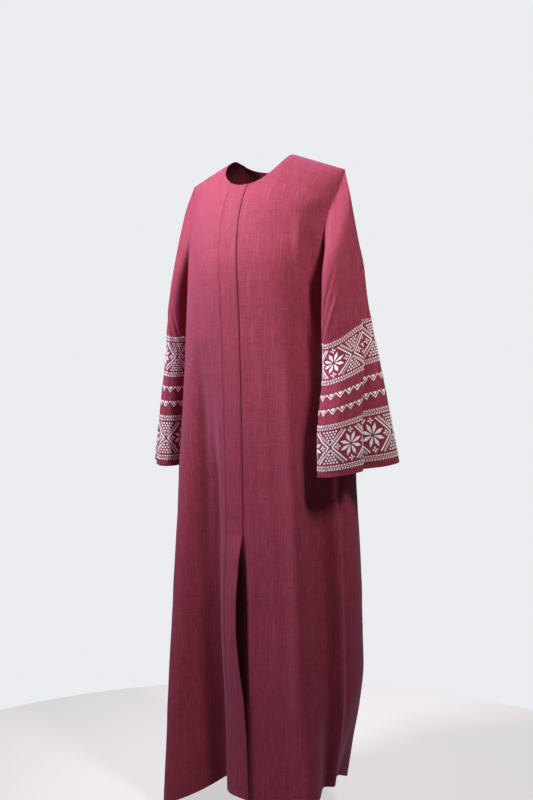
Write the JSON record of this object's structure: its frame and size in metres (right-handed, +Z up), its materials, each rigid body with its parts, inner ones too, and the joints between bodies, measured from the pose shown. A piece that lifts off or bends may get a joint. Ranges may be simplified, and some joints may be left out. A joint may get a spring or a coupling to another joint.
{
  "type": "abaya",
  "caption": "Floor-length abaya of burgundy melange cloth with a concealed front placket, a front slit and wide sleeves with pale geometric embroidery",
  "frame": {"origin": "middle of the shoulders, level with the shoulder seams at the neck", "axes": "+Z up, the front faces -Y, the wearer's left is +X"},
  "size_m": [0.6678, 0.3517, 1.5168],
  "materials": {
    "melange_cloth": "matte linen-look weave"
  },
  "bodies": {
    "root": {"front_right": "melange_cloth", "placket_band": "melange_cloth", "front_left": "melange_cloth", "back": "melange_cloth", "sleeve_left": "melange_cloth", "sleeve_right": "melange_cloth"}
  },
  "joints": []
}
